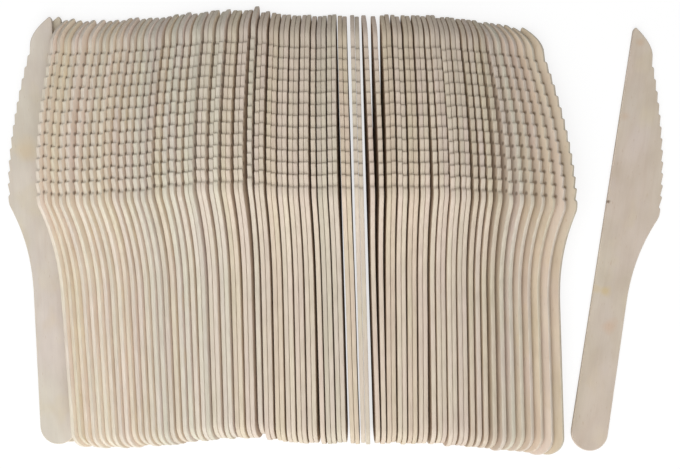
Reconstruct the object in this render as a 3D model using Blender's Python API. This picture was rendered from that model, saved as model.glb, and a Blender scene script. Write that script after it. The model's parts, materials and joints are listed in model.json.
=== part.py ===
"""A pack of bamboo knives: a row of thin knives standing on their backs, and one lying loose beside it.

Units are metres. X runs along the row, Y from the handles to the tips, and Z is up.
"""

import math
import random
from collections import namedtuple

import bmesh
import bpy
from mathutils import Matrix, Vector

# Blank of one knife, punched from flat bamboo strip
LENGTH = 0.165
THICKNESS = 0.0017

# Nose: rises from the blunt tip to the cutting edge
TIP_LIFT = 0.0008
TIP_CHAMFER = 0.0013
NOSE_LENGTH = 0.011
NOSE_DEPTH = 0.0091
NOSE_FULLNESS = 1.9
NOSE_STEPS = 3
NOSE_CROWDING = 1.4

# Saw edge: equal notches along a gently bulging line, after a short plain stretch
PLAIN_EDGE = 0.0032
NOTCHES = 13
NOTCH_PITCH = 0.00446
NOTCH_STEP = 0.0005
NOTCH_DEPTH = 0.00085
EDGE_DEPTH_FRONT = 0.0094
EDGE_DEPTH_BACK = 0.0203
EDGE_FULLNESS = 1.65

# Heel and shoulder: the blade's widest place, and the hollow curve down to the handle
HEEL_DEPTH = 0.021
HEEL_FLAT = 0.0009
HEEL_ROUND = 0.0042
HEEL_DROP = 0.0006
SHOULDER_LENGTH = 0.0332
SHOULDER_HOLLOW = 2.2
SHOULDER_STEPS = 3
SHOULDER_CROWDING = 1.2

# Handle: a slight waist, then a full half-round end
NECK_DEPTH = 0.0135
HANDLE_DEPTH = 0.0142
END_STEPS = 6

# Room between neighbours, and the fine valley between the edges of two that are pressed together
KNIFE_GAP = 0.0003
SEAM_DEPTH = 0.0002

# The two knives that lie on each other at the left end, edges outwards
LOWER_YAW = 4.2
UPPER_YAW = 3.8
LOWER_SLIDE = 0.0
UPPER_SLIDE = -0.0004
UPPER_OVERHANG = 0.0036

# The knife that lies by itself to the right of the row, edge outwards
LOOSE_YAW = -9.0
LOOSE_SLIDE = -0.0039
LOOSE_CLEARANCE = 0.0035

# Each clump stands in the row from left to right. A letter is one node: s is a single knife and p
# is a pair pressed face to face. Lean (top to the right) and yaw (tip to the left) are in degrees,
# slide is towards the tips, and each runs evenly from the clump's first knife to its last. Room is
# the extra gap in front of each of its nodes.
Clump = namedtuple("Clump", "nodes lean yaw slide room")
CLUMPS = (
    Clump("sssss", (-37, -34), (5.0, 4.7), (-0.0012, -0.0017), 0.0),
    Clump("sssssssssss", (-33, -24), (4.2, 3.1), (-0.0018, -0.0002), 0.0),
    Clump("ssss", (-23, -19), (2.9, 2.6), (0.0002, 0.0012), 0.0),
    Clump("ppppp", (-18, -12), (2.4, 1.7), (0.0014, 0.0024), 0.0),
    Clump("sp", (-9, -8), (1.6, 1.5), (0.0036, 0.0014), 0.0001),
    Clump("pppp", (-7, -6), (1.4, 1.4), (0.0008, 0.0), 0.0002),
    Clump("spp", (-5, -4), (1.6, 1.6), (0.0, 0.0), 0.0001),
    Clump("pp", (-2, -1), (1.8, 1.5), (0.0, 0.0), 0.0002),
    Clump("s", (3, 3), (1.6, 1.6), (0.0, 0.0), 0.0006),
    Clump("s", (4, 4), (1.0, 1.0), (0.0, 0.0), 0.0),
    Clump("pppp", (4, 6), (0.5, 0.3), (0.0, 0.0), 0.0001),
    Clump("sppp", (8, 10), (0.5, 0.6), (0.0, -0.0010), 0.0),
    Clump("sss", (12, 15), (0.5, 0.6), (-0.0012, -0.0019), 0.0),
    Clump("ssssssss", (19, 60), (0.7, 0.9), (-0.0023, -0.0049), 0.0),
)

# Shades of pale bamboo strip, dealt out over the pack
SHADES = {
    "bamboo_cream": (0.72, 0.60, 0.46),
    "bamboo_straw": (0.64, 0.53, 0.39),
    "bamboo_rose": (0.63, 0.49, 0.39),
    "bamboo_sage": (0.58, 0.51, 0.39),
}
STRIP_ROUGHNESS = 0.65
SHADE_SEED = 46


def along(start, end, fraction):
    """Value at a fraction of the way from start to end."""
    return start + (end - start) * fraction


def nose_points():
    """From the tip up to the start of the cutting edge."""
    points = []
    for step in range(NOSE_STEPS + 1):
        fraction = (step / NOSE_STEPS) ** NOSE_CROWDING
        rise = 1 - (1 - fraction) ** NOSE_FULLNESS
        points.append((NOSE_LENGTH * fraction, along(TIP_LIFT, NOSE_DEPTH, rise)))
    return points


def saw_points():
    """Each notch's root and the crest behind it; the last tooth ends in the heel."""
    points = []
    for notch in range(NOTCHES):
        run = NOSE_LENGTH + PLAIN_EDGE + NOTCH_PITCH * notch
        bulge = 1 - (1 - notch / (NOTCHES - 1)) ** EDGE_FULLNESS
        root = along(EDGE_DEPTH_FRONT, EDGE_DEPTH_BACK, bulge)
        points += [(run, root), (run + NOTCH_STEP, root + NOTCH_DEPTH)]
    points[-1] = (points[-2][0] + HEEL_FLAT, HEEL_DEPTH)
    return points


def shoulder_points(heel):
    """The hollow curve from behind the heel to the neck."""
    points = []
    for step in range(SHOULDER_STEPS + 1):
        fraction = (step / SHOULDER_STEPS) ** SHOULDER_CROWDING
        rest = (1 - fraction) ** SHOULDER_HOLLOW
        depth = along(NECK_DEPTH, HEEL_DEPTH - HEEL_DROP, rest)
        points.append((heel + HEEL_ROUND + SHOULDER_LENGTH * fraction, depth))
    return points


def end_points():
    """The half-round end of the handle, from the edge side to the back."""
    radius = HANDLE_DEPTH / 2
    points = []
    for step in range(END_STEPS + 1):
        angle = math.pi * step / END_STEPS
        points.append((LENGTH - radius + radius * math.sin(angle), radius + radius * math.cos(angle)))
    return points


def knife_outline():
    """Outline of a blank as (distance from the tip, height above the back)."""
    saw = saw_points()
    return [(TIP_CHAMFER, 0.0)] + nose_points() + saw + shoulder_points(saw[-1][0]) + end_points()


def drawn_in(outline, depth):
    """The outline moved inwards by a depth."""
    points = []
    for index, point in enumerate(outline):
        here = Vector(point)
        incoming = (here - Vector(outline[index - 1])).normalized()
        outgoing = (Vector(outline[(index + 1) % len(outline)]) - here).normalized()
        inward = Vector((incoming.y + outgoing.y, -incoming.x - outgoing.x)).normalized()
        points.append(here + inward * depth)
    return points


def layer(outline, offset):
    """An outline at a distance to the side, with the middle of the length at y = 0."""
    return [Vector((offset, LENGTH / 2 - run, height)) for run, height in outline]


def knife_mesh(name, layers):
    """Blank punched as the first layer's face and extruded to each layer that follows."""
    bm = bmesh.new()
    first = bm.faces.new([bm.verts.new(point) for point in layers[0]])
    cap = first
    for ring in layers[1:]:
        extruded = bmesh.ops.extrude_face_region(bm, geom=[cap])["geom"]
        if cap is not first:
            bmesh.ops.delete(bm, geom=[cap], context="FACES_ONLY")
        cap = next(item for item in extruded if isinstance(item, bmesh.types.BMFace))
        for vert, point in zip(cap.verts, ring):
            vert.co = point
    bmesh.ops.recalc_face_normals(bm, faces=bm.faces)
    mesh = bpy.data.meshes.new(name)
    bm.to_mesh(mesh)
    bm.free()
    mesh.materials.append(None)
    return mesh


class Node:
    """One node of the pack, turned and set on the table, still free to move along the row."""

    def __init__(self, name, blank, lean, yaw, slide, lift=0.0):
        self.name = name
        self.room = 0.0
        self.mesh, layers = blank
        self.turn = (0.0, math.radians(lean), math.radians(yaw))
        rotation = Matrix.Rotation(self.turn[2], 3, "Z") @ Matrix.Rotation(self.turn[1], 3, "Y")
        turned = [rotation @ point for ring in layers for point in ring]
        self.place = Vector((0.0, slide, lift - min(point.z for point in turned)))
        self.points = [point + self.place for point in turned]
        self.face = rotation @ Vector((1.0, 0.0, 0.0))
        self.edge = rotation @ Vector((0.0, 0.0, 1.0))

    def move(self, distance):
        """Slide the node along the row."""
        step = Vector((distance, 0.0, 0.0))
        self.place += step
        self.points = [point + step for point in self.points]


def shift_to_clear(earlier, later, direction, gap):
    """How far the later node must move along X to lie a gap beyond the earlier one."""
    reach = max(direction.dot(point) for point in earlier.points)
    start = min(direction.dot(point) for point in later.points)
    return (reach + gap - start) / direction.x


def flat_knives(single):
    """The two knives that lie on each other under the left end of the row."""
    lower = Node("flat_knife_lower", single, -90, LOWER_YAW, LOWER_SLIDE)
    upper = Node("flat_knife_upper", single, -90, UPPER_YAW, UPPER_SLIDE, lift=THICKNESS + KNIFE_GAP)
    upper.move(-UPPER_OVERHANG)
    return [lower, upper]


def row_knives(single, pair):
    """The standing knives and pairs, clump by clump, not yet moved along the row."""
    row = []
    number = 1
    for clump in CLUMPS:
        for index, kind in enumerate(clump.nodes):
            fraction = index / max(len(clump.nodes) - 1, 1)
            lean, yaw, slide = (along(*ends, fraction) for ends in clump[1:4])
            if kind == "p":
                node = Node(f"row_knives_{number:02d}_{number + 1:02d}", pair, lean, yaw, slide)
                number += 2
            else:
                node = Node(f"row_knife_{number:02d}", single, lean, yaw, slide)
                number += 1
            node.room = clump.room
            row.append(node)
    return row


def place_pack(single, pair):
    """Every node in its place: each stands as close to the one before as their faces allow."""
    flats = flat_knives(single)
    row = row_knives(single, pair)
    row[0].move(max(shift_to_clear(flat, row[0], row[0].face, KNIFE_GAP) for flat in flats))
    for earlier, later in zip(row, row[1:]):
        gap = KNIFE_GAP + later.room
        later.move(min(shift_to_clear(earlier, later, node.face, gap) for node in (earlier, later)))
    loose = Node("loose_knife", single, 90, LOOSE_YAW, LOOSE_SLIDE)
    loose.move(shift_to_clear(row[-1], loose, loose.edge, LOOSE_CLEARANCE))
    return flats + row + [loose]


def strip_material(name, colour):
    """Principled material of one shade of bamboo strip."""
    material = bpy.data.materials.new(name)
    material.use_nodes = True
    shader = material.node_tree.nodes["Principled BSDF"]
    shader.inputs["Base Color"].default_value = (*colour, 1.0)
    shader.inputs["Roughness"].default_value = STRIP_ROUGHNESS
    shader.inputs["Metallic"].default_value = 0.0
    return material


def build_pack():
    """Make the blanks, place them, and centre the pack over the origin."""
    outline = knife_outline()
    single_layers = [layer(outline, -THICKNESS / 2), layer(outline, THICKNESS / 2)]
    pair_layers = [layer(outline, -THICKNESS), layer(outline, THICKNESS)]
    pair_layers.insert(1, layer(drawn_in(outline, SEAM_DEPTH), 0.0))
    single = (knife_mesh("knife", single_layers), single_layers)
    pair = (knife_mesh("knife_pair", pair_layers), pair_layers)
    pack = place_pack(single, pair)

    reach = [point for node in pack for point in node.points]
    low = Vector([min(point[axis] for point in reach) for axis in range(3)])
    high = Vector([max(point[axis] for point in reach) for axis in range(3)])
    base = Vector(((low.x + high.x) / 2, (low.y + high.y) / 2, low.z))
    shades = [strip_material(name, colour) for name, colour in SHADES.items()]
    dealer = random.Random(SHADE_SEED)
    for node in pack:
        knife = bpy.data.objects.new(node.name, node.mesh)
        bpy.context.scene.collection.objects.link(knife)
        knife.location = node.place - base
        knife.rotation_euler = node.turn
        knife.material_slots[0].link = "OBJECT"
        knife.material_slots[0].material = dealer.choice(shades)


for item in list(bpy.data.objects):
    bpy.data.objects.remove(item)
build_pack()
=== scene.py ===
import json
import math
import random
from collections import namedtuple

import bmesh
import bpy
from mathutils import Matrix, Vector


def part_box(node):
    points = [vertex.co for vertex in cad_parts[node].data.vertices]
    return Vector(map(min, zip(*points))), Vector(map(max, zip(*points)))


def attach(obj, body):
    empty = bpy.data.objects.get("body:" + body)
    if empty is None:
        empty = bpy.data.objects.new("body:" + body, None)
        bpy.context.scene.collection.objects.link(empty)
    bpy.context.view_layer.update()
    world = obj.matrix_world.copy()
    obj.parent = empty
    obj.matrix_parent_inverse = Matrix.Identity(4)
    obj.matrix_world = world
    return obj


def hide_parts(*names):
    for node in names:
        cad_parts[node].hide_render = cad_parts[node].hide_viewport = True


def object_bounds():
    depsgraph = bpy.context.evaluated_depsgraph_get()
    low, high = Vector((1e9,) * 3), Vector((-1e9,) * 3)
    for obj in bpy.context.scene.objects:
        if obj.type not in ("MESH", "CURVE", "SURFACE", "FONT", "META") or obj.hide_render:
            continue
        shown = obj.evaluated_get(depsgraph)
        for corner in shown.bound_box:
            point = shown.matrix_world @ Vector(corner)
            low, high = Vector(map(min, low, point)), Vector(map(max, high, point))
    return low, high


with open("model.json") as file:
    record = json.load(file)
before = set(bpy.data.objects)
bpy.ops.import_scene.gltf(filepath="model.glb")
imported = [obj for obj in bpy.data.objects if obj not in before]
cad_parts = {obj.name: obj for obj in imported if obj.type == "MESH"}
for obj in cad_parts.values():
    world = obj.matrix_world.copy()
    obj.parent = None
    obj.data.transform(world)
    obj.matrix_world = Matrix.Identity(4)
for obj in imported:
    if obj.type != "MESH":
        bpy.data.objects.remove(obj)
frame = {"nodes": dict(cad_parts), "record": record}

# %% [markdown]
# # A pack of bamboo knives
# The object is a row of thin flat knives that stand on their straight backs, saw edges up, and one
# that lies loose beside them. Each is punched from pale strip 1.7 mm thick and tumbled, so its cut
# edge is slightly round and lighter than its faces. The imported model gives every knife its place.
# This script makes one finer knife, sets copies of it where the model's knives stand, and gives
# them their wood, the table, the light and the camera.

MM = 0.001
cad_low, cad_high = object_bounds()
print("packed model:", len(frame["nodes"]), "nodes,", [round(s / MM, 1) for s in cad_high - cad_low], "mm")

# %% [markdown]
# ## The blank
# A knife of this kind starts as a flat shape cut by a steel rule die. Its corners are easy to give
# as a distance from the tip and a height above the back, with a radius for each: sharp in the saw
# notches, rounder on the crests of the teeth, and a full half circle at the end of the handle. The
# bevel operator, set to vertices, then rounds each corner of a flat face, which is simpler than
# working out the arcs.

# %% Sizes of the knife in metres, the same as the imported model's
LENGTH = 0.165
THICKNESS = 0.0017
TIP_LIFT = 0.0008
TIP_CHAMFER = 0.0013
NOSE_LENGTH = 0.011
NOSE_DEPTH = 0.0091
NOSE_FULLNESS = 1.9
PLAIN_EDGE = 0.0032
NOTCHES = 13
NOTCH_PITCH = 0.00446
NOTCH_STEP = 0.0005
NOTCH_DEPTH = 0.00085
EDGE_DEPTH_FRONT = 0.0094
EDGE_DEPTH_BACK = 0.0203
EDGE_FULLNESS = 1.65
HEEL_DEPTH = 0.021
HEEL_FLAT = 0.0009
HEEL_ROUND = 0.0042
HEEL_DROP = 0.0006
SHOULDER_LENGTH = 0.0332
SHOULDER_HOLLOW = 2.2
NECK_DEPTH = 0.0135
HANDLE_DEPTH = 0.0142
print("strip for one knife:", round(LENGTH / MM), "x", round(HEEL_DEPTH / MM), "x", THICKNESS / MM, "mm")

# %% How each corner is rounded: a radius in metres and its number of segments
SHARP = (0.0, 1)
TIP_ROUND = (0.0005, 4)
ROOT_ROUND = (0.00012, 2)
CREST_ROUND = (0.0004, 4)
END_ROUND = (HANDLE_DEPTH / 2 - 0.00001, 12)
print("radii in mm:", [round(rounding[0] / MM, 2) for rounding in (TIP_ROUND, ROOT_ROUND, CREST_ROUND)])


# %% Corners of the nose and the saw edge
def between(start, end, fraction):
    """The value at a fraction of the way from start to end."""
    return start + (end - start) * fraction


def nose_corners(steps=8):
    """The curved front, from the blunt tip up to the plain stretch of edge."""
    corners = [(0.0, TIP_LIFT, TIP_ROUND)]
    for step in range(1, steps + 1):
        fraction = (step / steps) ** 1.2
        rise = 1 - (1 - fraction) ** NOSE_FULLNESS
        corners.append((NOSE_LENGTH * fraction, between(TIP_LIFT, NOSE_DEPTH, rise), SHARP))
    return corners


def saw_corners():
    """Each notch's root and the crest behind it."""
    corners = []
    for notch in range(NOTCHES):
        run = NOSE_LENGTH + PLAIN_EDGE + NOTCH_PITCH * notch
        bulge = 1 - (1 - notch / (NOTCHES - 1)) ** EDGE_FULLNESS
        root = between(EDGE_DEPTH_FRONT, EDGE_DEPTH_BACK, bulge)
        corners += [(run, root, ROOT_ROUND), (run + NOTCH_STEP, root + NOTCH_DEPTH, CREST_ROUND)]
    corners[-1] = (corners[-2][0] + HEEL_FLAT, HEEL_DEPTH, CREST_ROUND)
    return corners


print("saw edge:", NOTCHES, "notches, the last", round(saw_corners()[-2][0] / MM, 1), "mm from the tip")


# %% Corners of the heel and the shoulder, and the whole blank
def shoulder_corners(heel, steps=11):
    """The heel's round, then the hollow curve down to the neck of the handle."""
    corners = []
    for step in range(1, 5):
        fraction = step / 4
        corners.append((heel + HEEL_ROUND * fraction, HEEL_DEPTH - HEEL_DROP * fraction**3.2, SHARP))
    for step in range(1, steps + 1):
        fraction = (step / steps) ** 1.1
        depth = between(NECK_DEPTH, HEEL_DEPTH - HEEL_DROP, (1 - fraction) ** SHOULDER_HOLLOW)
        corners.append((heel + HEEL_ROUND + SHOULDER_LENGTH * fraction, depth, SHARP))
    return corners


def blank_corners():
    """All corners of the blank in order, from the tip over the edge to the handle and back."""
    saw = saw_corners()
    handle = [(LENGTH, HANDLE_DEPTH, END_ROUND), (LENGTH, 0.0, END_ROUND)]
    back = [(TIP_CHAMFER, 0.0, TIP_ROUND)]
    return nose_corners() + saw + shoulder_corners(saw[-1][0]) + handle + back


print("blank:", len(blank_corners()), "corners before rounding")

# %% [markdown]
# ## From blank to knife
# The flat face is extruded to the strip's thickness. Tumbling leaves a small round along both
# rims, so those edges get a narrow bevel in two steps. The sides stay flat shaded, and the rim is
# smooth shaded with its bevel, so it catches light as a round edge. Cuts across the blade let the
# knife bend slightly later. The rim is marked with a second material, because cut fibre is lighter
# than the sanded face.

# %% The master knife: back at z = 0, tip at +y, faces to either side
RIM_ROUND = 0.0003
CUT_SPACING = 0.011
WELD = 0.00003
CUT_WELD = 0.00002


def is_side(face):
    """True for the two broad faces of a knife."""
    return abs(face.normal.x) > 0.99


def master_knife():
    """One knife as a closed mesh, its length along y and its thickness along x."""
    bm = bmesh.new()
    rounded = {}
    for run, height, rounding in blank_corners():
        vert = bm.verts.new((0.0, LENGTH / 2 - run, height))
        rounded.setdefault(rounding, []).append(vert)
    bm.faces.new(bm.verts[:])
    for (radius, segments), verts in rounded.items():
        if radius:
            bmesh.ops.bevel(bm, geom=verts, offset=radius, offset_type="OFFSET", segments=segments,
                            profile=0.5, affect="VERTICES", material=-1)
    bmesh.ops.remove_doubles(bm, verts=bm.verts, dist=WELD)
    grown = bmesh.ops.extrude_face_region(bm, geom=bm.faces[:])["geom"]
    far = [item for item in grown if isinstance(item, bmesh.types.BMVert)]
    bmesh.ops.translate(bm, vec=(THICKNESS, 0.0, 0.0), verts=far)
    bmesh.ops.translate(bm, vec=(-THICKNESS / 2, 0.0, 0.0), verts=bm.verts)
    bmesh.ops.recalc_face_normals(bm, faces=bm.faces)
    rims = [edge for edge in bm.edges if sum(is_side(face) for face in edge.link_faces) == 1]
    bmesh.ops.bevel(bm, geom=rims, offset=RIM_ROUND, offset_type="OFFSET", segments=2,
                    profile=0.5, affect="EDGES", material=-1)
    for cut in range(1, int(LENGTH / CUT_SPACING)):
        bmesh.ops.bisect_plane(bm, geom=bm.verts[:] + bm.edges[:] + bm.faces[:], dist=CUT_WELD,
                               plane_co=(0.0, LENGTH / 2 - CUT_SPACING * cut, 0.0), plane_no=(0.0, 1.0, 0.0))
    for face in bm.faces:
        face.smooth = not is_side(face)
        face.material_index = 0 if is_side(face) else 1
    mesh = bpy.data.meshes.new("master_knife")
    bm.to_mesh(mesh)
    bm.free()
    return mesh


master = master_knife()
master.calc_loop_triangles()
print("one knife:", len(master.vertices), "vertices,", len(master.loop_triangles), "triangles")

# %% [markdown]
# ## Where each knife stands
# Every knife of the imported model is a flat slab, so its place can be read from its own mesh: the
# largest face looks along the thickness, and the longest edge is the straight back. Measuring is
# safer than repeating angles, because the finer knife then follows the model by itself. The
# model's meshes are loose triangles, so a copy is merged and its flat faces are joined first.

# %% Reading a knife's stance from its mesh
Stance = namedtuple("Stance", "across tipward edgeward place count")


def stance(node):
    """Three directions (thickness, tip, edge), the middle of the back, and how many knives stand there."""
    bm = bmesh.new()
    bm.from_mesh(node.data)
    bmesh.ops.remove_doubles(bm, verts=bm.verts, dist=1e-6)
    bmesh.ops.dissolve_limit(bm, angle_limit=math.radians(1), verts=bm.verts, edges=bm.edges)
    back = max(bm.edges, key=lambda edge: edge.calc_length())
    side = max(bm.faces, key=lambda face: face.calc_area())
    tipward = (back.verts[1].co - back.verts[0].co).normalized()
    tipward *= 1 if tipward.y > 0 else -1
    edgeward = side.normal.cross(tipward).normalized()
    edgeward *= 1 if edgeward.dot(side.calc_center_median() - back.verts[0].co) > 0 else -1
    across = tipward.cross(edgeward)
    spans = []
    for axis in (across, tipward, edgeward):
        reach = [axis.dot(vert.co) for vert in bm.verts]
        spans.append((min(reach), max(reach)))
    bm.free()
    place = across * sum(spans[0]) / 2 + tipward * sum(spans[1]) / 2 + edgeward * spans[2][0]
    return Stance(across, tipward, edgeward, place, round((spans[0][1] - spans[0][0]) / THICKNESS))


stances = {name: stance(node) for name, node in frame["nodes"].items()}
row = sorted((name for name in stances if name.startswith("row")), key=lambda name: stances[name].place.x)
print("knives found in the packed model:", sum(found.count for found in stances.values()))
print("pieces in the row:", len(row), "from", row[0], "to", row[-1])

# %% [markdown]
# ## No two strips alike
# Thin strip is never quite straight, and a hand squares up a row only roughly. Each knife gets a
# small bow of its own and a slide of a few tenths of a millimetre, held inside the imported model's
# box and inside the room between neighbours. Fixed seeds make them the same each time.

# %% Bow, slide and tone, from fixed seeds
BOW = 0.00005
SLIDE = 0.00045
WAVE_SHORTEST = 0.055
WAVE_LONGEST = 0.14
TONE_SPREAD = 0.5
SHEET_REACH = 3


def lively(seed):
    """One knife's own bow, slide, tone and place in the sheet of veneer."""
    draw = random.Random(seed)
    return {
        "bow": draw.uniform(-BOW, BOW),
        "wave": draw.uniform(WAVE_SHORTEST, WAVE_LONGEST),
        "phase": draw.uniform(0.0, math.tau),
        "slide": draw.uniform(-SLIDE, SLIDE),
        "tone": max(-1.0, min(1.0, draw.gauss(0.0, TONE_SPREAD))),
        "sheet": Vector([draw.uniform(0, SHEET_REACH) for axis in range(3)]),
    }


seeds = {name: number + 1 for number, name in enumerate(sorted(stances))}
slides = {name: lively(seed)["slide"] for name, seed in seeds.items()}
print("slides in mm:", round(min(slides.values()) / MM, 2), "to", round(max(slides.values()) / MM, 2))

# %% [markdown]
# ## Where a neighbour's notches fall
# In a fan each knife covers most of the next one's face, and the notches of the upper knife end on
# the face below. Shade falls there, and it is painted: the painted shade dots on a face follow the
# neighbour's notches and not the knife's own. The shift between the two is worked out from both
# knives' places, for the first and the last notch, and the notches between them blend it.

# %% The shift between a knife's notches and its neighbour's
def notch_at(number):
    """A notch's root: its place along the knife and its height above the back."""
    run, height = saw_corners()[2 * number][:2]
    return LENGTH / 2 - run, height


def spot_shift(name, number):
    """How far the covering neighbour's notch lies from the knife's own one of the same number."""
    if name not in row:
        return Vector((0.0, 0.0, 0.0))
    own = stances[name]
    step = 1 if own.edgeward.x < 0 else -1
    beside = row[min(max(row.index(name) + step, 0), len(row) - 1)]
    other = stances[beside]
    along, height = notch_at(number)
    corner = other.place + other.tipward * (along + slides[beside]) + other.edgeward * height
    corner -= other.across * step * other.count * THICKNESS / 2
    off = corner - own.place
    return Vector((0.0, own.tipward.dot(off) - along - slides[name], own.edgeward.dot(off) - height))


shift = spot_shift(row[-1], 0)
print("the last knife's first mark is", round(shift.length / MM, 1), "mm from its own first notch")

# %% [markdown]
# ## Setting the knives
# The imported model keeps 0.3 mm between neighbours that touch in life, so each leaning knife swells
# a little into that room, and a pair gets a crack down its middle. Upright knives stand looser and
# keep their gaps. The row's tone also drifts from lighter at its left end to darker at its right.
#
# Six values ride on the vertices, and materials read them, so the figure lies along each knife
# whichever way it leans:
# - own: the knife's coordinates before it is set down
# - sheet: its place in an endless sheet of veneer
# - tone: how light the strip is
# - nested: one for a knife that stands in the row
# - leaning: nothing for an upright knife, one for a knife that leans clearly, and a little less in
#   the right fan, whose faces look away from the light; it mixes painted shade between upright
#   knives with painted light in a fan
# - spot: how far the neighbour's notches lie from the knife's own, measured on its face

# %% Setting the knives of one node
SWELL = 0.00006
CLEAR_LEAN = 0.35
# A smaller share of painted light for the right fan, whose faces look away from the lamp
RIGHT_FAN_LIGHT_SHARE = 0.8
DRIFT = 1.25
CRACK = 0.00012


def set_knives(name):
    """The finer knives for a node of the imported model, as one mesh in the frame."""
    across, tipward, edgeward, place, count = stances[name]
    turn = Matrix((across, tipward, edgeward)).transposed().to_4x4()
    bow_share = 1 - abs(across.z)
    bm = bmesh.new()
    own_place = bm.verts.layers.float_vector.new("own")
    sheet = bm.verts.layers.float_vector.new("sheet")
    tone = bm.verts.layers.float.new("tone")
    nested = bm.verts.layers.float.new("nested")
    leaning = bm.verts.layers.float.new("leaning")
    spot = bm.verts.layers.float_vector.new("spot")
    shared = lively(seeds[name])
    first_spot, last_spot = spot_shift(name, 0), spot_shift(name, NOTCHES - 1)
    first_notch, last_notch = notch_at(0)[0], notch_at(NOTCHES - 1)[0]
    lean_share = min(1.0, abs(edgeward.x) / CLEAR_LEAN)
    in_row = float(name in row)
    drift = -in_row * DRIFT * place.x / cad_high.x
    thick = (count * THICKNESS + 2 * SWELL * lean_share - (count - 1) * CRACK) / count
    node_low, node_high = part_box(name)
    for number in range(count):
        own = lively(seeds[name] + 0.5 * number)
        before = len(bm.verts)
        bm.from_mesh(master)
        fresh = bm.verts[before:]
        side = (number - (count - 1) / 2) * (thick + CRACK)
        slide = max(cad_low.y - node_low.y, min(cad_high.y - node_high.y, own["slide"]))
        for vert in fresh:
            vert[own_place] = vert.co
            vert[sheet] = own["sheet"]
            vert[tone] = own["tone"] + drift
            vert[nested] = in_row
            vert[leaning] = lean_share * (RIGHT_FAN_LIGHT_SHARE if edgeward.x > 0 else 1.0)
            heelward = (first_notch - vert.co.y) / (first_notch - last_notch)
            vert[spot] = first_spot.lerp(last_spot, min(1.0, max(0.0, heelward)))
            turns = vert.co.y / shared["wave"] * math.tau + shared["phase"]
            bend = shared["bow"] * bow_share * math.sin(turns)
            vert.co.x = vert.co.x * thick / THICKNESS + side + bend
        bmesh.ops.transform(bm, matrix=Matrix.Translation(place + tipward * slide) @ turn, verts=fresh)
    sunk = cad_low.z - min(vert.co.z for vert in bm.verts)
    bmesh.ops.translate(bm, vec=(0.0, 0.0, max(0.0, sunk)), verts=bm.verts)
    mesh = bpy.data.meshes.new("bamboo_" + name)
    bm.to_mesh(mesh)
    bm.free()
    return mesh


meshes = {name: set_knives(name) for name in sorted(stances)}
print("knives set:", sum(len(mesh.vertices) for mesh in meshes.values()) // len(master.vertices))

# %% [markdown]
# ## Helpers for the wood
# Every finish is a net of shader nodes. One function adds a node with its settings and links, one
# does a step of arithmetic, and a few name what is done again and again: noise whose grains have
# real sizes, a value moved from one range to another, and two colours blended. Colours are chosen
# as screen colours and turned to linear light in one place.

# %% Colours and nodes
def linear(code):
    """An sRGB hex colour as linear RGBA."""
    parts = [int(code[i : i + 2], 16) / 255 for i in (1, 3, 5)]
    return (*[c / 12.92 if c <= 0.04045 else ((c + 0.055) / 1.055) ** 2.4 for c in parts], 1.0)


def add(tree, kind, inputs=None, **settings):
    """Adds a shader node with its settings; an input is a value or another node's output."""
    made = tree.nodes.new(kind)
    for name, value in settings.items():
        setattr(made, name, value)
    for socket, value in (inputs or {}).items():
        if isinstance(value, bpy.types.NodeSocket):
            tree.links.new(value, made.inputs[socket])
        else:
            made.inputs[socket].default_value = value
    return made


def reckon(tree, operation, *values):
    """One step of arithmetic on values or outputs."""
    return add(tree, "ShaderNodeMath", dict(enumerate(values)), operation=operation).outputs[0]


print("mid grey #808080 is", round(linear("#808080")[0], 3), "in linear light")


# %% Noise from real sizes, ranges and blends
def veneer_noise(tree, grain, sizes, detail=2.0, roughness=0.5):
    """Noise whose grains have these sizes in millimetres through, along and up the knife."""
    scales = [1 / (size * MM) for size in sizes]
    scaled = add(tree, "ShaderNodeVectorMath", {0: grain, 1: scales}, operation="MULTIPLY")
    return add(tree, "ShaderNodeTexNoise", {"Vector": scaled.outputs[0], "Scale": 1.0,
                                            "Detail": detail, "Roughness": roughness}).outputs["Fac"]


def ranged(tree, value, from_low, from_high, to_low, to_high):
    """A value moved from one range to another and held there."""
    return add(tree, "ShaderNodeMapRange", {"Value": value, "From Min": from_low, "From Max": from_high,
                                            "To Min": to_low, "To Max": to_high}).outputs["Result"]


def mixed(tree, share, first, second, way="MIX"):
    """Two colours blended by a share."""
    made = add(tree, "ShaderNodeMix", {0: share, 6: first, 7: second}, data_type="RGBA", blend_type=way)
    return made.outputs[2]


def length_of(tree, vector):
    """The length of a vector."""
    return add(tree, "ShaderNodeVectorMath", {0: vector}, operation="LENGTH").outputs["Value"]


# %% What the faces and the edges share
TONE_STEPS = 2
TONE_REACH = 0.14
CAST_SIZES = (30, 34, 26)
LILAC_CAST = (1.005, 0.993, 1.012, 1.0)
GREEN_CAST = (0.99, 1.01, 0.98, 1.0)


def riding(tree, name, output="Fac"):
    """A value that rides on the knives' vertices."""
    return add(tree, "ShaderNodeAttribute", attribute_name=name).outputs[output]


def strip_material(name):
    """An empty matt wood material: its tree, its shader and the values that ride on a knife."""
    material = bpy.data.materials.new(name)
    material.use_nodes = True
    tree = material.node_tree
    shader = tree.nodes["Principled BSDF"]
    shader.inputs["IOR"].default_value = 1.5
    shader.inputs["Specular IOR Level"].default_value = 0.3
    own = riding(tree, "own", "Vector")
    sheet = riding(tree, "sheet", "Vector")
    grain = add(tree, "ShaderNodeVectorMath", {0: own, 1: sheet}, operation="ADD").outputs[0]
    tone = ranged(tree, riding(tree, "tone"), -TONE_STEPS, TONE_STEPS, 1 - TONE_REACH, 1 + TONE_REACH)
    return material, tree, shader, own, grain, tone, riding(tree, "nested")


def tinted(tree, colour, grain):
    """The colour with a cast towards lilac or green that wanders from knife to knife and along each."""
    cast = ranged(tree, veneer_noise(tree, grain, CAST_SIZES, detail=1), 0.38, 0.62, 0, 1)
    return mixed(tree, 1.0, colour, mixed(tree, cast, LILAC_CAST, GREEN_CAST), way="MULTIPLY")


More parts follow.
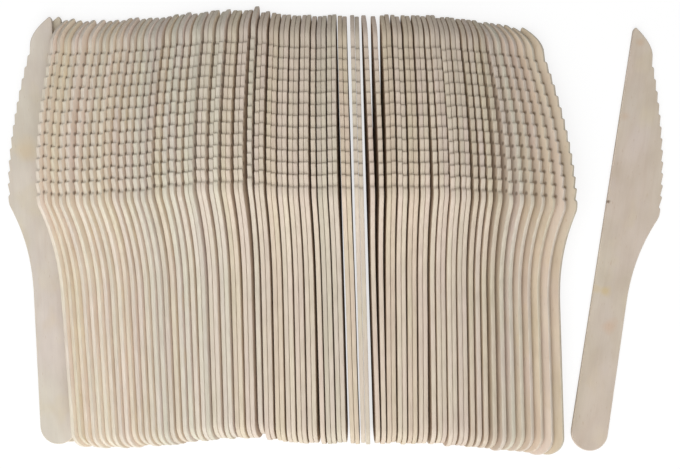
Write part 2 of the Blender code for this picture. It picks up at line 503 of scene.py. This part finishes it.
def painted_light_by_lean(tree, colour, nested, upright, fanned):
    """The colour on knives in the row multiplied by painted shade where they stand upright and by painted
    light where they lean.
    """
    cast = mixed(tree, riding(tree, "leaning"), upright, fanned)
    return mixed(tree, nested, colour, cast, way="MULTIPLY")


print("tones run from", 1 - TONE_REACH, "to", 1 + TONE_REACH)

# %% [markdown]
# ## Dark roots
# Shade falls deep where the root of one knife's notch meets the face of the next, and it is painted
# in: the row shows a painted dark dot of shade at every root. The nearest root is worked out from the
# knife's coordinates with the sizes that shaped the saw edge. A fainter painted shade darkens the edge
# at each root too.

# %% How near a point lies to the root of a notch
DOT_DROP = 0.35
DOT_CORE = 0.35
DOT_RIM = 1.0
DOT_ON_FACE = 0.68
DOT_ON_EDGE = 0.12
# The colour of the painted shade dots at the notch roots
ROOT_PAINTED_SHADE = "#76624D"


def near_root(tree, where, nested, drop=0.0):
    """One just below a notch's root on a nested knife, falling to nothing nearby."""
    place = add(tree, "ShaderNodeSeparateXYZ", {0: where}).outputs
    run = reckon(tree, "SUBTRACT", LENGTH / 2 - NOSE_LENGTH - PLAIN_EDGE, place["Y"])
    number = reckon(tree, "ROUND", reckon(tree, "DIVIDE", run, NOTCH_PITCH))
    number = reckon(tree, "MINIMUM", reckon(tree, "MAXIMUM", number, 0.0), NOTCHES - 1.0)
    off = reckon(tree, "SUBTRACT", run, reckon(tree, "MULTIPLY", number, NOTCH_PITCH))
    ahead = reckon(tree, "SUBTRACT", 1.0, reckon(tree, "DIVIDE", number, NOTCHES - 1.0))
    bulge = reckon(tree, "SUBTRACT", 1.0, reckon(tree, "POWER", ahead, EDGE_FULLNESS))
    root = reckon(tree, "MULTIPLY_ADD", bulge, EDGE_DEPTH_BACK - EDGE_DEPTH_FRONT, EDGE_DEPTH_FRONT)
    below = reckon(tree, "ADD", reckon(tree, "SUBTRACT", place["Z"], root), drop * MM)
    away = length_of(tree, add(tree, "ShaderNodeCombineXYZ", {0: off, 1: below}).outputs[0])
    return reckon(tree, "MULTIPLY", ranged(tree, away, DOT_CORE * MM, DOT_RIM * MM, 1, 0), nested)


print("dots:", 2 * DOT_RIM, "mm wide with a core of", 2 * DOT_CORE, "mm")

# %% [markdown]
# ## Stains
# Two knives show their whole face, and each has marks of its own: a yellow knot stain with a paler
# one beside it, three orange patches and a dark nick on the loose knife, and a yellow patch on the
# upper flat one. They are given by their places in the frame, in millimetres, with a radius, a
# strength and a colour.

# %% Where the stains lie
STAINS = (
    ((104.0, -24.2), 2.6, 0.5, "#C6AE78"),
    ((100.8, -23.5), 1.8, 0.35, "#C9B285"),
    ((105.5, -38.0), 3.2, 0.35, "#C6A285"),
    ((118.0, 72.0), 2.0, 0.35, "#C09F7F"),
    ((112.0, 43.6), 2.2, 0.25, "#C09F7F"),
    ((105.35, 10.3), 0.8, 0.85, "#6E5A46"),
    ((-119.8, 29.8), 5.0, 0.35, "#D2B98C"),
)
RAGGED = 0.5


def stained(tree, place, radius, strength):
    """How strongly a ragged round stain shows at a point."""
    where = add(tree, "ShaderNodeTexCoord").outputs["Object"]
    rough = add(tree, "ShaderNodeTexNoise", {"Vector": where, "Scale": RAGGED / (radius * MM)}).outputs["Fac"]
    parts = add(tree, "ShaderNodeSeparateXYZ", {0: where}).outputs
    right = reckon(tree, "SUBTRACT", parts["X"], place[0] * MM)
    up = reckon(tree, "SUBTRACT", parts["Y"], place[1] * MM)
    away = length_of(tree, add(tree, "ShaderNodeCombineXYZ", {0: right, 1: up}).outputs[0])
    away = reckon(tree, "MULTIPLY", away, ranged(tree, rough, 0.3, 0.7, 0.75, 1.35))
    return ranged(tree, away, 0.35 * radius * MM, 1.15 * radius * MM, strength, 0)


def with_stains(tree, colour):
    """The colour with every stain laid over it."""
    for place, radius, strength, stain in STAINS:
        colour = mixed(tree, stained(tree, place, radius, strength), colour, linear(stain))
    return colour


print("stains:", len(STAINS), "from", min(stain[1] for stain in STAINS), "mm in radius")

# %% [markdown]
# ## The strip's face
# The wood is pale strip peeled or sliced thin and only sanded, with no oil or lacquer. What the
# eye gets is a matt beige with soft cloudy patches a centimetre across, some of them honey and some
# lilac grey, a faint flame of year rings, fibres a third of a millimetre wide that run the length of
# the knife, and a few tan flecks. Four shades of strip are mixed in a pack, as the record's four
# material slots say, and each strip leans a little towards lilac or green. Faces that lean in a fan
# get painted light, a lighter colour, and faces between upright knives get painted shade, darker and
# browner, for the shade and the warm light bounced deep between them.

# %% The face's colours, and the sizes of its figure in millimetres through, along and up the knife
FACE_COLOURS = {
    "bamboo_cream": ("#D2C7B8", "#C7BAA9"),
    "bamboo_straw": ("#CEC2B0", "#C1B39F"),
    "bamboo_rose": ("#CABDAE", "#BEB09F"),
    "bamboo_sage": ("#D0C7BC", "#C5BBB0"),
}
HONEY = "#CDBFA1"
LILAC = "#C9BDB8"
TAN_FLECK = "#A98C6B"
# Painted light for faces that lean in a fan; painted shade, darker and browner, for faces between upright
# knives
FACE_PAINTED_LIGHT = (1.3, 1.26, 1.24, 1.0)
FACE_PAINTED_SHADE = (0.8, 0.68, 0.56, 1.0)
CLOUD_SIZES = (20, 20, 9)
HONEY_SIZES = (9, 13, 9)
LILAC_SIZES = (12, 22, 13)
SWAY_SIZES = (40, 55, 16)
FLECK_SIZES = (1.5, 2.6, 0.5)
FIBRE_SIZES = (0.5, 12, 0.34)
RING_SPACING = 6
RING_SWAY = 2.2
FACE_RELIEF = 0.03
print("fibres", FIBRE_SIZES[2], "mm wide, year rings", RING_SPACING, "mm apart")


# %% The figure of the wood, and the broad face
def figured(tree, grain, light, dark):
    """Clouds, honey and lilac patches, year rings and flecks on a face of two shades."""
    cloud = ranged(tree, veneer_noise(tree, grain, CLOUD_SIZES, detail=3), 0.35, 0.68, 0, 1)
    colour = mixed(tree, cloud, light, dark)
    honey = ranged(tree, veneer_noise(tree, grain, HONEY_SIZES), 0.55, 0.75, 0, 0.35)
    colour = mixed(tree, honey, colour, linear(HONEY))
    lilac = ranged(tree, veneer_noise(tree, grain, LILAC_SIZES), 0.52, 0.72, 0, 0.28)
    colour = mixed(tree, lilac, colour, linear(LILAC))
    sway = ranged(tree, veneer_noise(tree, grain, SWAY_SIZES), 0.3, 0.7, 0, RING_SWAY)
    height = add(tree, "ShaderNodeSeparateXYZ", {0: grain}).outputs["Z"]
    rings = reckon(tree, "MULTIPLY", height, math.tau / (RING_SPACING * MM))
    rings = reckon(tree, "MULTIPLY_ADD", sway, math.tau, rings)
    flame = ranged(tree, reckon(tree, "SINE", rings), 0.2, 1, 0, 0.05)
    colour = mixed(tree, flame, colour, linear(TAN_FLECK))
    fleck = ranged(tree, veneer_noise(tree, grain, FLECK_SIZES, detail=1), 0.7, 0.76, 0, 0.3)
    return mixed(tree, fleck, colour, linear(TAN_FLECK))


def sanded_face(slot):
    """The broad face of the strip."""
    material, tree, shader, own, grain, tone, nested = strip_material(slot + "_sanded_face")
    light, dark = (linear(code) for code in FACE_COLOURS[slot])
    colour = tinted(tree, figured(tree, grain, light, dark), grain)
    fibre = veneer_noise(tree, grain, FIBRE_SIZES)
    shade = reckon(tree, "ADD", ranged(tree, fibre, 0.25, 0.75, -0.025, 0.025), tone)
    # Painted light and painted shade on knives in the row, by how far they lean
    colour = painted_light_by_lean(tree, mixed(tree, 1.0, colour, shade, way="MULTIPLY"), nested, FACE_PAINTED_SHADE, FACE_PAINTED_LIGHT)
    colour = with_stains(tree, colour)
    # Painted shade: a dark dot where the covering neighbour's notch root meets this face
    spot = riding(tree, "spot", "Vector")
    beside = add(tree, "ShaderNodeVectorMath", {0: own, 1: spot}, operation="SUBTRACT").outputs[0]
    dot = reckon(tree, "MULTIPLY", near_root(tree, beside, nested, DOT_DROP), DOT_ON_FACE)
    colour = mixed(tree, dot, colour, linear(ROOT_PAINTED_SHADE))
    tree.links.new(colour, shader.inputs["Base Color"])
    tree.links.new(ranged(tree, fibre, 0.2, 0.8, 0.68, 0.82), shader.inputs["Roughness"])
    bump = add(tree, "ShaderNodeBump", {"Strength": 0.35, "Distance": FACE_RELIEF * MM, "Height": fibre})
    tree.links.new(bump.outputs["Normal"], shader.inputs["Normal"])
    return material


faces = {slot: sanded_face(slot) for slot in FACE_COLOURS}
print("faces:", [material.name for material in faces.values()])

# %% [markdown]
# ## The cut edge
# The die shears the fibres, and tumbling brushes the edge lighter and a little fuzzy. Along the
# knife it shows fine streaks, and the layers through the thickness show as two or three faint
# bands. The streaks are drawn about 0.2 mm wide, which is as coarse as they need to be to show.
# Round the nose the edge is painted darker and greyer, a painted shade where the nose slopes away
# from the lamp. Edges that lean in a fan get painted light, a little lighter and cooler, and edges
# between upright knives get painted shade, a little darker and warmer, as the faces do.

# %% The edge's material
EDGE_COLOURS = {
    "bamboo_cream": ("#DDD0C0", "#CABCAA"),
    "bamboo_straw": ("#D9CBB8", "#C6B6A1"),
    "bamboo_rose": ("#D9CCBD", "#C7B7A6"),
    "bamboo_sage": ("#D7CDBE", "#C5B9A8"),
}
# Painted shade on the edge round the nose, which slopes away from the lamp
NOSE_PAINTED_SHADE = (0.87, 0.87, 0.88, 1.0)
NOSE_SHADE_FROM = 1.4 * NOSE_LENGTH
NOSE_SHADE_FULL = 0.7 * NOSE_LENGTH
# Painted light on edges in a fan, painted shade on edges between upright knives
EDGE_PAINTED_LIGHT = (1.015, 1.05, 1.065, 1.0)
EDGE_PAINTED_SHADE = (1.0, 0.975, 0.955, 1.0)
STREAK_SIZES = (0.22, 7, 0.8)
PATCH_SIZES = (4, 9, 6)
EDGE_RELIEF = 0.05


def cut_edge(slot):
    """The sheared and tumbled edge all round a knife."""
    material, tree, shader, own, grain, tone, nested = strip_material(slot + "_cut_edge")
    light, dark = (linear(code) for code in EDGE_COLOURS[slot])
    streak = veneer_noise(tree, grain, STREAK_SIZES, roughness=0.6)
    patch = veneer_noise(tree, grain, PATCH_SIZES)
    colour = mixed(tree, ranged(tree, streak, 0.3, 0.72, 0, 1), light, dark)
    shade = reckon(tree, "ADD", ranged(tree, patch, 0.3, 0.7, -0.05, 0.05), tone)
    colour = mixed(tree, 1.0, tinted(tree, colour, grain), shade, way="MULTIPLY")
    tipward = add(tree, "ShaderNodeSeparateXYZ", {0: own}).outputs["Y"]
    nose = ranged(tree, tipward, LENGTH / 2 - NOSE_SHADE_FROM, LENGTH / 2 - NOSE_SHADE_FULL, 0, 1)
    # Painted shade round the nose
    colour = mixed(tree, nose, colour, NOSE_PAINTED_SHADE, way="MULTIPLY")
    # Painted light and painted shade on the edges, by how far the knife leans
    colour = painted_light_by_lean(tree, colour, nested, EDGE_PAINTED_SHADE, EDGE_PAINTED_LIGHT)
    # Painted shade: a fainter dark dot at each notch root on the edge
    dot = reckon(tree, "MULTIPLY", near_root(tree, own, nested), DOT_ON_EDGE)
    colour = with_stains(tree, mixed(tree, dot, colour, linear(ROOT_PAINTED_SHADE)))
    tree.links.new(colour, shader.inputs["Base Color"])
    tree.links.new(ranged(tree, streak, 0.2, 0.8, 0.74, 0.88), shader.inputs["Roughness"])
    bump = add(tree, "ShaderNodeBump", {"Strength": 0.4, "Distance": EDGE_RELIEF * MM, "Height": streak})
    tree.links.new(bump.outputs["Normal"], shader.inputs["Normal"])
    return material


edges = {slot: cut_edge(slot) for slot in EDGE_COLOURS}
print("edges:", [material.name for material in edges.values()])

# %% [markdown]
# ## Dressing the pack
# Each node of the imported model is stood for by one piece, which holds one knife or the two that
# are pressed together. The record says which shade of strip a node has, so the piece takes its
# finish from there.

# %% One piece for each node
slots = {part["node"]: part["material_slot"] for part in frame["record"]["subparts"]}
triangles = 0
for name, mesh in meshes.items():
    mesh.materials.append(faces[slots[name]])
    mesh.materials.append(edges[slots[name]])
    piece = bpy.data.objects.new(mesh.name, mesh)
    bpy.context.scene.collection.objects.link(piece)
    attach(piece, "root")
    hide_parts(name)
    mesh.calc_loop_triangles()
    triangles += len(mesh.loop_triangles)
print("pieces:", len(meshes), "with", triangles, "triangles")

# %% [markdown]
# ## The table
# The pack was photographed on a white table. The floor is a large plane, white to the camera, and it
# keeps the soft shadow because only part of its brightness is its own. Further than a hand from the
# pack it turns into plain white, so no horizon shows from the side.

# %% The white table
TABLE_HALF = 3.0
SHADOW_REACH = 0.22
PLAIN_REACH = 0.5
TABLE_PAINT = "#E8E8E8"
SHADOWED_PAINT = "#898989"
OWN_GLOW = 0.77
WHITE = (1.0, 1.0, 1.0, 1.0)
floor_mesh = bpy.data.meshes.new("table_top")
bm = bmesh.new()
bmesh.ops.create_grid(bm, x_segments=1, y_segments=1, size=TABLE_HALF)
bm.to_mesh(floor_mesh)
bm.free()
floor = bpy.data.objects.new("table_top", floor_mesh)
bpy.context.scene.collection.objects.link(floor)
white_table = bpy.data.materials.new("matt_white_table")
white_table.use_nodes = True
tree = white_table.node_tree
tree.nodes.clear()
seen = add(tree, "ShaderNodeLightPath").outputs["Is Camera Ray"]
paint = add(tree, "ShaderNodeBsdfDiffuse", {"Color": linear(TABLE_PAINT)}).outputs[0]
thin_paint = add(tree, "ShaderNodeBsdfDiffuse", {"Color": linear(SHADOWED_PAINT)}).outputs[0]
glow = add(tree, "ShaderNodeEmission", {"Color": WHITE, "Strength": OWN_GLOW}).outputs[0]
near = add(tree, "ShaderNodeAddShader", {0: thin_paint, 1: glow}).outputs[0]
plain = add(tree, "ShaderNodeEmission", {"Color": WHITE, "Strength": 1.0}).outputs[0]
away = length_of(tree, add(tree, "ShaderNodeTexCoord").outputs["Object"])
far_share = ranged(tree, away, SHADOW_REACH, PLAIN_REACH, 0, 1)
shown = add(tree, "ShaderNodeMixShader", {0: far_share, 1: near, 2: plain}).outputs[0]
table_mix = add(tree, "ShaderNodeMixShader", {0: seen, 1: paint, 2: shown}).outputs[0]
add(tree, "ShaderNodeOutputMaterial", {"Surface": table_mix})
floor_mesh.materials.append(white_table)
print("table:", 2 * TABLE_HALF, "m wide, plain white from", PLAIN_REACH, "m out")

# %% [markdown]
# ## The light
# The pack lay in an even white room with one very large soft lamp at the front left, which leaves
# the right side and the steep side of each notch a little darker. Rays from the camera, and mirrored
# ones, see the room as plain white, and all others get its gentler light.

# %% The white room and the soft lamp
ROOM_LIGHT = 0.38
LAMP_SIZE = 1.3
LAMP_POWER = 10.8
LAMP_PLACE = (-0.12, -0.55, 0.7)
world = bpy.data.worlds.new("white_room")
bpy.context.scene.world = world
world.use_nodes = True
tree = world.node_tree
tree.nodes.clear()
path = add(tree, "ShaderNodeLightPath").outputs
direct = reckon(tree, "MAXIMUM", path["Is Camera Ray"], path["Is Glossy Ray"])
direct = reckon(tree, "MAXIMUM", direct, path["Is Transmission Ray"])
strength = ranged(tree, direct, 0, 1, ROOM_LIGHT, 1)
room = add(tree, "ShaderNodeBackground", {"Color": WHITE, "Strength": strength})
add(tree, "ShaderNodeOutputWorld", {"Surface": room.outputs[0]})

lamp_data = bpy.data.lights.new("soft_lamp", "AREA")
lamp_data.size = LAMP_SIZE
lamp_data.energy = LAMP_POWER
lamp = bpy.data.objects.new("soft_lamp", lamp_data)
lamp.location = LAMP_PLACE
lamp.rotation_euler = (-lamp.location).to_track_quat("-Z", "Y").to_euler()
bpy.context.scene.collection.objects.link(lamp)
print("lamp:", LAMP_SIZE, "m wide,", round(lamp.location.length, 2), "m from the pack")

# %% [markdown]
# ## The camera
# The photograph looks straight down from about 40 cm. Knives that stand upright show only their
# edges in the middle of such a view and lean outwards towards its sides, so the height matters as
# much as the framing. It was found by laying the heel and the tip of several knives over the picture.

# %% The camera, 40 cm above the table
SENSOR = 36.0
LENS = 55.17
CAMERA_PLACE = (0.00252, -0.00858, 0.40517)
CAMERA_TURN = (0.0154, 0.0025, -0.0002)
camera_data = bpy.data.cameras.new("camera")
camera_data.sensor_width = SENSOR
camera_data.lens = LENS
camera_data.clip_start = 0.01
camera_data.clip_end = 20.0
camera = bpy.data.objects.new("camera", camera_data)
camera.location = CAMERA_PLACE
camera.rotation_euler = CAMERA_TURN
bpy.context.scene.collection.objects.link(camera)
bpy.context.scene.camera = camera
bpy.context.scene.view_settings.view_transform = "Standard"
print("camera: sees", round(SENSOR / LENS * CAMERA_PLACE[2] / MM), "mm of the table")
